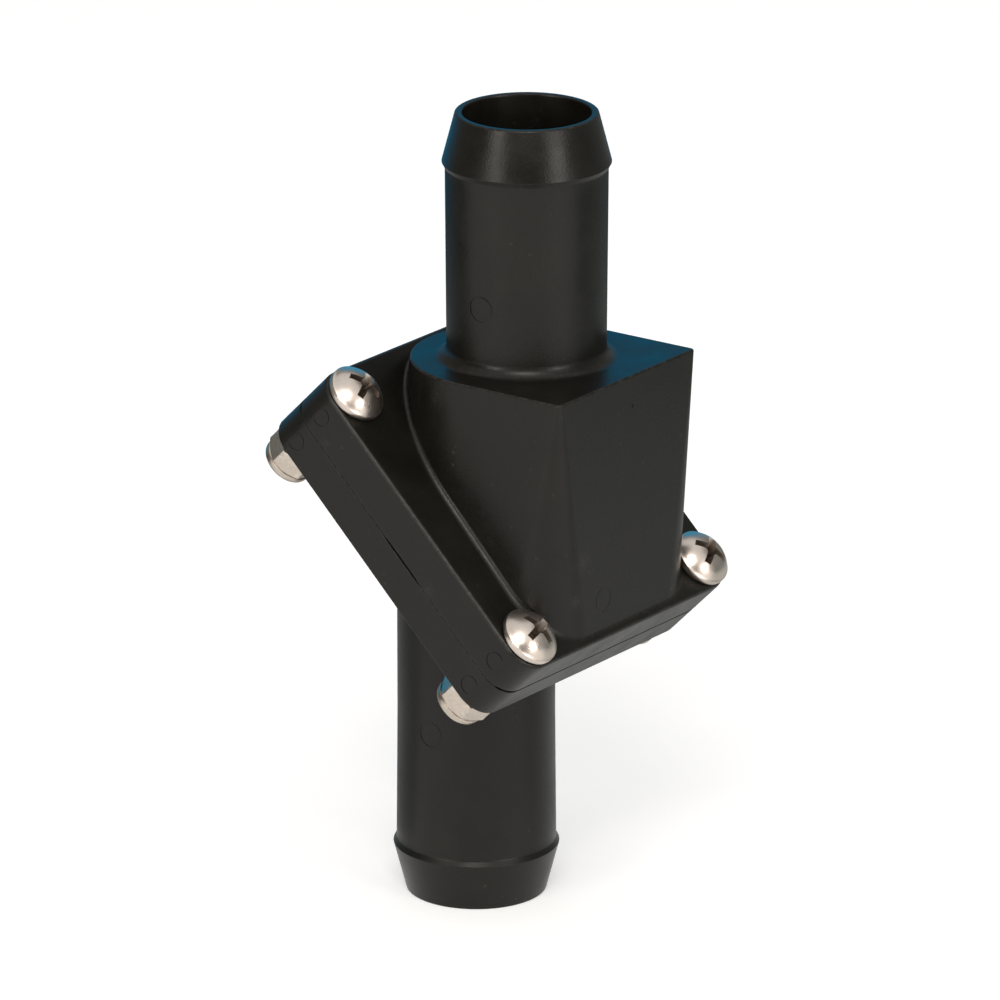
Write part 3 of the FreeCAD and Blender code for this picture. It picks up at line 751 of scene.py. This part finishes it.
def makeInletHalf():
    t, f, h = tailShape, flangeShape, hollow
    steps = t["steps"]
    profile, worn = tailProfile(t["inletRoot"])
    near, far = ringOf(t["narrow"], t["inletRoot"], steps), ringOf(t["narrow"], t["past"], steps)
    foot = footRings(near, far, -f["lower"], lambda spot: t["inletFoot"], -1)
    tail = skin("tail", turnedRings(profile, steps) + foot, worn)
    flange = skin("flange", flangeRings(-1), flangeWear)
    half = joinPieces("inletHalf", [tail, flange])
    fill(half, nearPlane(-f["lower"]))
    fill(half, nearPlane(0.0))
    mergeDoubles(half)

    recess = roundedLine(h["recessLength"], h["recessWidth"], h["recessCorner"])
    combine(half, plate("recess", recess, -h["sheet"], 1.0))
    rings = turnedRings([(0, -1)] + boreRows(), steps)
    level = -h["sheet"] - h["seatPlate"]
    above = ringOf(t["bore"] + h["step"], t["past"], steps)
    bore = skin("bore", rings + [[meetPlane(low, high, level) for low, high in zip(rings[-1], above)]])
    fill(bore, nearPlane(level))
    combine(half, mergeDoubles(bore))
    seat = turned("seat", [(0, level - 0.5), (h["seatRadius"], level - 0.5), (h["seatRadius"], 0), (0, 0)], 96)
    combine(half, placeOnJoint(seat, h["seat"], 0, 0))
    drillBolts(half, -f["lower"] - 1, 1)
    markSides(half, pinMarks["lower"])
    combine(half, tailMark(0.0, *pinMarks["inletTail"]))
    return half


finishPiece(makeOutletHalf(), plastic, ["outlet_body"])
print("modelling the inlet half")
finishPiece(makeInletHalf(), plastic, ["inlet_body"])

screwShape = {
    "head": 4.8, "headHeight": 3.77, "rim": 1.38, "fold": 0.14, "domeRows": 12, "shank": 2.5, "sink": 0.3,
    "length": 20.0, "plain": 0.2, "pitch": 0.8, "threadDepth": 0.42, "perTurn": 5, "around": 24,
    "crossSpan": 3.5, "crossWidth": 1.3, "crossDepth": 2.4, "crossTaper": (0.5, 0.7, 1.0), "coreTop": 1.15,
    "coreTip": 0.55, "spins": (30.0, 63.0, 15.0, 37.0),
}
flapScrewShape = dict(screwShape, head=4.0, headHeight=2.6, rim=0.9, shank=2.0, length=10.0, pitch=0.7,
                      threadDepth=0.36, crossSpan=2.7, crossWidth=1.2, crossDepth=1.7)


# Pan-head screw on its own axis: domed head, rolled thread and a cross recess.
def makeScrew(name, s):
    top, edge, deep = s["headHeight"], s["head"], s["crossDepth"]
    fold, rise = edge - s["fold"], top - s["rim"]
    dome = [(0.0, 0.0), (edge - 0.75, 0.0), (edge - 0.26, 0.14), (edge - 0.05, 0.4), (edge, 0.7),
            (edge - 0.01, s["rim"] - 0.16), (edge - 0.05, s["rim"] - 0.05)]
    ball = (fold * fold + rise * rise) / (2 * rise)
    steepest = math.asin(fold / ball)
    for i in range(s["domeRows"] + 1):
        lean = steepest * (1 - i / s["domeRows"])
        dome.append((ball * math.sin(lean), top - ball + ball * math.cos(lean)))
    head = turned("head", dome, 64, worn={5: 0.4, 6: 0.6, 7: 0.4})
    for spin in (0.0, math.pi / 2):
        clearSelection()
        bpy.ops.mesh.primitive_cube_add(size=1, location=(0, 0, top - deep / 2 + 0.2))
        blade = bpy.context.object
        bpy.ops.transform.resize(value=(s["crossSpan"] * 2, s["crossWidth"], deep + 0.4))
        bpy.ops.object.transform_apply(location=True, rotation=False, scale=True)
        choose(blade, "FACE", lambda normal: normal.z < -0.9)
        bpy.ops.transform.resize(value=s["crossTaper"])
        leaveEdit()
        blade.data.transform(Matrix.Rotation(spin, 4, "Z"))
        combine(head, blade)
    cone = [(0, top), (s["coreTop"], top), (s["coreTip"], top - deep * 1.1), (0, top - deep * 1.15)]
    core = turned("core", cone, 24)
    core.data.transform(Matrix.Translation((0, 0, 0.02)))
    combine(head, core)

    # The thread is a stack of rings whose radius follows the helix.
    plain = s["length"] * s["plain"]
    count = int((s["length"] - plain) / s["pitch"] * s["perTurn"])
    levels = [0.0] + [-plain - (s["length"] - plain) * i / count for i in range(count + 1)]
    rings = [ringOf(axisRadius, s["sink"], s["around"]), ringOf(s["shank"], s["sink"], s["around"])]
    for level in levels:
        ring = []
        depth = s["threadDepth"] * min(1.0, max(0.0, (-level - plain) / s["pitch"]))
        tip = max(0.0, 1 - (s["length"] + level) / (s["pitch"] * 0.8)) * s["threadDepth"]
        for i in range(s["around"]):
            angle = 2 * math.pi * i / s["around"]
            phase = (level / s["pitch"] - angle / (2 * math.pi)) % 1.0
            wave = 1 - abs(phase * 2 - 1)
            reach = min(s["shank"] - depth * wave, s["shank"] - tip)
            ring.append(Vector((reach * math.cos(angle), reach * math.sin(angle), level)))
        rings.append(ring)
    rings.append(ringOf(axisRadius, -s["length"], s["around"]))
    screw = combine(head, skin("shank", rings), "UNION")
    screw.name = name
    # The recess attribute marks the inside of the cross recess, where the finish paints shade.
    paintedRecessShade = screw.data.attributes.new("recess", "FLOAT", "POINT")
    for vertex, cell in zip(screw.data.vertices, paintedRecessShade.data):
        away = min(math.hypot(vertex.co.x, vertex.co.y), fold)
        surface = top - ball + math.sqrt(ball * ball - away * away)
        cell.value = 1.0 if 0.5 < vertex.co.z < surface - 0.12 and away < fold - 0.3 else 0.0
    return screw


print("modelling the fasteners")
screwMaster = makeScrew("screwMaster", screwShape)

nutShape = {"flats": 8.0, "hex": 3.5, "height": 5.0, "collar": 4.12, "collarRound": 0.42, "neck": 0.22,
            "hole": 2.55, "ring": 2.95, "chamfer": 0.3, "corner": 0.12, "spins": (-4.0, 25.0, 36.0, 2.0)}


# Hexagon bar that hangs down from the origin, and its radius over the corners.
def hexagonBar(flats, height):
    reach = flats / math.sqrt(3)
    clearSelection()
    bpy.ops.mesh.primitive_cylinder_add(vertices=6, radius=reach, depth=height, location=(0, 0, -height / 2))
    bar = bpy.context.object
    bpy.ops.object.transform_apply(location=True, rotation=True, scale=True)
    return bar, reach


# Lock nut with softened corners and a round collar for its nylon ring.
def makeLockNut(name):
    s = nutShape
    nut, reach = hexagonBar(s["flats"], s["hex"])
    choose(nut, "EDGE", lambda one, other: abs(one.z - other.z) > 1.0)
    bpy.ops.mesh.bevel(offset=s["corner"], segments=2, affect="EDGES")
    leaveEdit()
    blunt, low, foot, edge, ring = reach - 0.08, -s["hex"], -s["height"], s["collar"], s["ring"]
    neck = edge - s["neck"]
    turning = [(0, 0), (s["flats"] / 2 * 0.96, 0), (blunt, -s["chamfer"]), (blunt, low + 0.42), (neck, low),
               (0, low)]
    combine(nut, turned("turning", turning, 96), "INTERSECT")
    collar = [(0, -1.0), (neck - 0.1, -1.0), (neck, low + 0.02), (neck + 0.02, low - 0.1),
              (edge - 0.03, low - 0.2), (edge, low - 0.34), (edge - 0.04, foot + 0.5)]
    collar += arc((edge - 0.5, foot + s["collarRound"]), s["collarRound"], -10, -88, 5)
    collar += [(ring + 0.1, foot), (ring - 0.1, foot + 0.14), (0, foot + 0.14)]
    combine(nut, turned("collar", collar, 96), "UNION")
    hole = [(0, 1), (s["hole"] + 0.5, 1), (s["hole"] + 0.4, 0.0), (s["hole"], -0.45), (s["hole"], foot - 1),
            (0, foot - 1)]
    combine(nut, turned("hole", hole, 48))
    seatRing = [(0, low - 0.1), (ring, low - 0.1), (ring, foot + 0.2), (ring - 0.35, foot - 0.2), (0, foot - 0.2)]
    combine(nut, turned("ringSeat", seatRing, 48))
    nut.name = name
    attribute = nut.data.attributes.get("edgeWear") or nut.data.attributes.new("edgeWear", "FLOAT", "POINT")
    for vertex, cell in zip(nut.data.vertices, attribute.data):
        cell.value = 1.0 if math.hypot(vertex.co.x, vertex.co.y) > reach * 0.96 else 0.0
    return nut


nutMaster = makeLockNut("nutMaster")

ringShape = {"low": -4.68, "high": -3.74, "inner": 2.52, "outer": 2.9}


def makeNylonRing(name):
    low, high, inner, outer = (ringShape[key] for key in ("low", "high", "inner", "outer"))
    rows = [(inner, high - 0.05), (inner + 0.06, high), (outer - 0.08, high), (outer, high - 0.08),
            (outer, low + 0.25), (outer - 0.14, low), (inner + 0.1, low), (inner, low + 0.12), (inner, high - 0.05)]
    return turned(name, rows, 48)


ringMaster = makeNylonRing("ringMaster")
for index, (along, side) in enumerate(boltPlaces):
    number = index + 1
    screw = copyOf(screwMaster, f"flangeScrew_{number}")
    placeOnJoint(screw, along, side, flangeShape["upper"], math.radians(screwShape["spins"][index]))
    finishPiece(screw, brightSteel, [f"flange_screw_{number}"], smoothAngle=32)
    nut = copyOf(nutMaster, f"lockNut_{number}")
    placeOnJoint(nut, along, side, -flangeShape["lower"], math.radians(nutShape["spins"][index]))
    finishPiece(nut, nutSteel, [f"lock_nut_{number}"], smoothAngle=25)
    ring = copyOf(ringMaster, f"nylonRing_{number}")
    placeOnJoint(ring, along, side, -flangeShape["lower"])
    finishPiece(ring, nylon, [f"nut_ring_{number}"])
for master in (screwMaster, nutMaster, ringMaster):
    bpy.data.objects.remove(master)

print("modelling the rubber sheet and what the flap carries")
sheetShape = {"thick": 2.0, "length": 49.0, "width": 42.0, "corner": 11.0, "slot": 15.0, "flap": 13.0,
              "inside": 2.0, "screwHole": 2.15, "hinge": 15.113, "hingeGap": 3.0, "hingeHalf": 9.0, "waist": 1.0,
              "lift": 0.05, "round": 0.25, "strands": 24}


def softPlate(name, outline, low, high, inner=None):
    piece = plate(name, outline, low, high)
    if inner is not None:
        combine(piece, plate("window", inner, low - 1, high + 1))
    take(piece)
    edgeRound = piece.modifiers.new("edgeRound", "BEVEL")
    edgeRound.width, edgeRound.segments = sheetShape["round"], 3
    edgeRound.limit_method, edgeRound.angle_limit = "ANGLE", math.radians(50)
    bpy.ops.object.modifier_apply(modifier=edgeRound.name)
    return piece


s = sheetShape
clampedEnd, freeEnd = s["hinge"] + s["hingeGap"] / 2, s["hinge"] - s["hingeGap"] / 2
window = halfRoundLine(hollow["seat"], clampedEnd, s["slot"], s["inside"])
clamped = softPlate("gasketSheet", roundedLine(s["length"], s["width"], s["corner"]), -s["thick"], 0.0, window)
finishPiece(clamped, rubber, ["gasket"])
tongue = halfRoundLine(hollow["seat"], freeEnd, s["flap"], s["inside"])
screwHole = arc((hollow["seat"], 0), s["screwHole"], 0, 360, 32)[:-1]
flap = softPlate("flapTongue", tongue, s["lift"] - s["thick"], s["lift"], screwHole)
finishPiece(flap, rubber, ["flap"], body="flap")


# The waisted strip: rings round its section, from the clamped edge to the tongue.
def makeHingeStrip():
    s = sheetShape
    section = ((1, 0), (0.97, 1), (0.5, 1), (0, 1), (-0.5, 1), (-0.97, 1),
               (-1, 0), (-0.97, -1), (-0.5, -1), (0, -1), (0.5, -1), (0.97, -1))
    rings = []
    for i in range(s["strands"] + 1):
        share = i / s["strands"]
        neck = 1 - math.cos(2 * math.pi * share)
        half = (s["thick"] / 2 - s["lift"]) * (1 - neck / 2) + s["waist"] / 2 * neck / 2
        along, middle = clampedEnd - s["hingeGap"] * share, -s["thick"] / 2
        rings.append([onJoint(along, across * s["hingeHalf"], half * up + middle) for across, up in section])
    strip = skin("hingeStrip", rings)
    for end in (clampedEnd, freeEnd):
        fill(strip, lambda spot: abs(fromJoint(spot)[0] - end) < planeSlack)
    return mergeDoubles(strip)


strip = finishPiece(makeHingeStrip(), rubber, ["flap_hinge_web"], body=None)
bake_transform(strip)

discShape = {"weight": (10.5, 1.5), "backing": (9.0, 1.2), "hole": 2.15, "edge": 0.2, "soft": 0.06}


def makeDisc(name, radius, thick, above):
    edge, soft, hole = discShape["edge"], discShape["soft"], discShape["hole"]
    rows = [(hole, edge / 2), (hole + edge / 2, 0), (radius - edge, 0), (radius - soft, soft), (radius, edge),
            (radius, thick - edge), (radius - soft, thick - soft), (radius - edge, thick), (hole + edge / 2, thick),
            (hole, thick - edge / 2), (hole, edge / 2)]
    return placeOnJoint(turned(name, rows, 96, worn={3: 1.0, 4: 0.6, 5: 0.6, 6: 1.0}), hollow["seat"], 0, above)


underBacking = s["lift"] - s["thick"] - discShape["backing"][1]
weight = makeDisc("flapWeight", *discShape["weight"], s["lift"])
finishPiece(weight, brushedSteel, ["flap_weight"], body="flap")
backing = makeDisc("flapBacking", *discShape["backing"], underBacking)
finishPiece(backing, brushedSteel, ["flap_backing_plate"], body="flap")
flapScrew = makeScrew("flapScrew", flapScrewShape)
placeOnJoint(flapScrew, hollow["seat"], 0, s["lift"] + discShape["weight"][1], math.radians(25))
finishPiece(flapScrew, brightSteel, ["flap_screw"], body="flap", smoothAngle=32)

flapNutShape = {"flats": 7.0, "height": 3.2, "hole": 2.05, "chamfer": 0.32, "countersink": 0.35}


def makeFlapNut():
    s = flapNutShape
    nut, reach = hexagonBar(s["flats"], s["height"])
    nut.name = "flapNut"
    face, edge, foot = s["flats"] / 2 * 0.97, s["chamfer"], -s["height"]
    rows = [(0, 0), (face, 0), (reach, -edge), (reach, foot + edge), (face, foot), (0, foot)]
    combine(nut, turned("turning", rows, 60), "INTERSECT")
    inner, sink = s["hole"], s["countersink"]
    wide = inner + sink
    hole = [(0, 1), (wide, 1), (wide, 0), (inner, -sink), (inner, foot + sink), (wide, foot), (wide, foot - 1),
            (0, foot - 1)]
    combine(nut, turned("hole", hole, 40))
    return nut


flapNut = placeOnJoint(makeFlapNut(), hollow["seat"], 0, underBacking)
finishPiece(flapNut, nutSteel, ["flap_nut"], body="flap", smoothAngle=25)

print("setting the stage, the lights and the camera")
stageLook = {"floor": (0.82, 0.82, 0.82), "rough": 0.9, "size": 6.0, "glow": 0.36, "light": 0.55, "seen": 1.0}
clearSelection()
bpy.ops.mesh.primitive_plane_add(size=stageLook["size"])
floor = bpy.context.object
floor.name = "floor"


# 1 where the camera, gloss or transmission sees a surface, 0 where it only lights the object.
def seenDirectly(tree):
    path = tree.nodes.new("ShaderNodeLightPath")
    seen = addMath(tree, "MAXIMUM", path.outputs["Is Camera Ray"], path.outputs["Is Glossy Ray"])
    return addMath(tree, "MAXIMUM", seen, path.outputs["Is Transmission Ray"])


def makeFloorMaterial():
    material, tree, shader, _ = newMaterial("paleFloor")
    shader.inputs["Base Color"].default_value = (*stageLook["floor"], 1.0)
    shader.inputs["Roughness"].default_value = stageLook["rough"]
    strength = addMath(tree, "MULTIPLY", seenDirectly(tree), stageLook["glow"])
    glow = addNode(tree, "ShaderNodeEmission", {"Color": (1, 1, 1, 1), "Strength": strength})
    both = addNode(tree, "ShaderNodeAddShader", {0: shader.outputs[0], 1: glow.outputs[0]})
    tree.links.new(both.outputs[0], tree.nodes["Material Output"].inputs["Surface"])
    return material


floor.data.materials.append(makeFloorMaterial())

world = bpy.data.worlds.new("studio")
bpy.context.scene.world = world
world.use_nodes = True
tree = world.node_tree
back = tree.nodes["Background"]
back.inputs["Color"].default_value = (1, 1, 1, 1)
strength = addRamp(tree, seenDirectly(tree), 0.0, 1.0, stageLook["light"], stageLook["seen"])
tree.links.new(strength, back.inputs["Strength"])

# Cards that only gloss sees, as the dark surfaces of the photograph show their surroundings: a sweep of
# dark blue behind the object, and a low dark surround further out, with the floor between. Rows are
# (radius, height); directions are in degrees from +X, with "reachLeft" towards the camera's left. The
# sweep's pairs are where one tone starts to give way to the next, along its share or its height.
sweepShape = {"rows": ((0.03, 0.0008), (0.26, 0.0008), (0.30, 0.03), (0.32, 0.5)), "middle": 110.0,
              "reach": 92.0, "reachLeft": 108.0, "columns": 24,
              "floor": (0.40, 0.41, 0.40), "floorRight": (0.72, 0.72, 0.69), "low": (0.012, 0.030, 0.034),
              "lowRight": (0.13, 0.20, 0.21), "high": (0.018, 0.38, 0.68), "highRight": (0.27, 0.28, 0.27),
              "highLeft": (0.18, 0.16, 0.14), "top": (0.26, 0.23, 0.21), "farLeft": (0.27, 0.25, 0.21),
              "farLow": (0.04, 0.045, 0.04),
              "lyingSplit": (-0.55, 0.05), "highSplit": (-0.12, 0.06), "asideFrom": (0.23, 0.34),
              "asideRise": (0.09, 0.13), "highRise": (0.025, 0.055), "topRise": (0.29, 0.38),
              "farFrom": (0.60, 0.72), "farRise": (0.05, 0.10), "foot": (0.002, 0.02)}
surroundShape = {"rows": ((1.85, 0.10), (1.85, 1.0)), "middle": -70.0, "reach": 90.0, "reachLeft": 90.0,
                 "columns": 24, "dark": (0.06, 0.06, 0.055), "light": (0.078, 0.078, 0.0715), "cloud": 2.0}


def makeCard(name, s, tone):
    clearSelection()
    bpy.ops.mesh.primitive_grid_add(x_subdivisions=s["columns"], y_subdivisions=len(s["rows"]) - 1, size=2)
    card = bpy.context.object
    card.name = name
    share = card.data.attributes.new("share", "FLOAT", "POINT")
    for vertex, cell in zip(card.data.vertices, share.data):
        cell.value = vertex.co.x
        reach = s["reachLeft"] if vertex.co.x > 0 else s["reach"]
        around = math.radians(s["middle"] + reach * vertex.co.x)
        radius, height = s["rows"][round((vertex.co.y + 1) / 2 * (len(s["rows"]) - 1))]
        vertex.co = (radius * math.cos(around), radius * math.sin(around), height)
    card.visible_camera = card.visible_diffuse = card.visible_shadow = card.visible_transmission = False
    material = bpy.data.materials.new(name + "Look")
    material.use_nodes = True
    tree = material.node_tree
    tree.nodes.remove(tree.nodes["Principled BSDF"])
    glow = addNode(tree, "ShaderNodeEmission", {"Color": tone(tree), "Strength": 1.0})
    tree.links.new(glow.outputs[0], tree.nodes["Material Output"].inputs["Surface"])
    card.data.materials.append(material)


def sweepTone(tree):
    s = sweepShape
    place = addNode(tree, "ShaderNodeTexCoord").outputs["Object"]
    height = addNode(tree, "ShaderNodeSeparateXYZ", {0: place}).outputs["Z"]
    share = addNode(tree, "ShaderNodeAttribute", attribute_name="share").outputs["Fac"]
    left = addRamp(tree, share, *s["lyingSplit"])
    lying = mixColour(tree, left, s["floorRight"], s["floor"])
    low = mixColour(tree, left, s["lowRight"], s["low"])
    high = mixColour(tree, addRamp(tree, share, *s["highSplit"]), s["highRight"], s["high"])
    beside, raised = addRamp(tree, share, *s["asideFrom"]), addRamp(tree, height, *s["asideRise"])
    aside = addMath(tree, "MULTIPLY", beside, raised)
    high = mixColour(tree, aside, high, s["highLeft"])
    standing = mixColour(tree, addRamp(tree, height, *s["highRise"]), low, high)
    standing = mixColour(tree, addRamp(tree, height, *s["topRise"]), standing, s["top"])
    farLeft = mixColour(tree, addRamp(tree, height, *s["farRise"]), s["farLow"], s["farLeft"])
    standing = mixColour(tree, addRamp(tree, share, *s["farFrom"]), standing, farLeft)
    return mixColour(tree, addRamp(tree, height, *s["foot"]), lying, standing)


def surroundTone(tree):
    place = addNode(tree, "ShaderNodeTexCoord").outputs["Object"]
    cloud = addNoise(tree, place, surroundShape["cloud"])
    return mixColour(tree, cloud, surroundShape["dark"], surroundShape["light"])


makeCard("blueSweep", sweepShape, sweepTone)
makeCard("darkSurround", surroundShape, surroundTone)

aim = Vector((0, 0, 0.065))
lamps = {
    "keyPanel": {"place": (0.75, -1.15, 1.35), "size": 0.75, "power": 16.0, "colour": (1.0, 0.95, 0.89)},
    "leftPanel": {"place": (-0.22, -1.55, 0.42), "size": 0.5, "power": 6.4, "colour": (1.0, 0.93, 0.86)},
    "rightPanel": {"place": (1.52, -0.26, 0.42), "size": 0.5, "power": 7.6, "colour": (1.0, 0.95, 0.90)},
}
for name, look in lamps.items():
    data = bpy.data.lights.new(name, "AREA")
    data.shape, data.size, data.energy, data.color = "SQUARE", look["size"], look["power"], look["colour"]
    lamp = link(bpy.data.objects.new(name, data))
    lamp.location = look["place"]
    lamp.rotation_euler = (aim - Vector(look["place"])).to_track_quat("-Z", "Y").to_euler()

# The camera comes from a fit to the photograph's edges, with lengths in its own unit of "scale" mm.
view = {
    "right": Vector((0.8094, 0.5872, 0.0)), "up": Vector((-0.1859, 0.2563, 0.9485)),
    "back": Vector((0.5570, -0.7678, 0.3166)), "scale": 0.66842, "lens": 319.85, "sensor": 36.0,
    "shiftRight": -0.257, "shiftUp": 1.028, "distance": 2085.33, "near": 0.05, "far": 30.0,
}
cameraData = bpy.data.cameras.new("camera")
cameraData.lens, cameraData.sensor_width = view["lens"], view["sensor"]
cameraData.clip_start, cameraData.clip_end = view["near"], view["far"]
camera = link(bpy.data.objects.new("camera", cameraData))
spot = jointPoint + (view["right"] * view["shiftRight"] + view["up"] * view["shiftUp"]
                     + view["back"] * view["distance"]) * view["scale"]
camera.location = spot * toMetres
camera.rotation_euler = Matrix((view["right"], view["up"], view["back"])).transposed().to_euler()
bpy.context.scene.camera = camera
bpy.context.scene.view_settings.view_transform = "Standard"
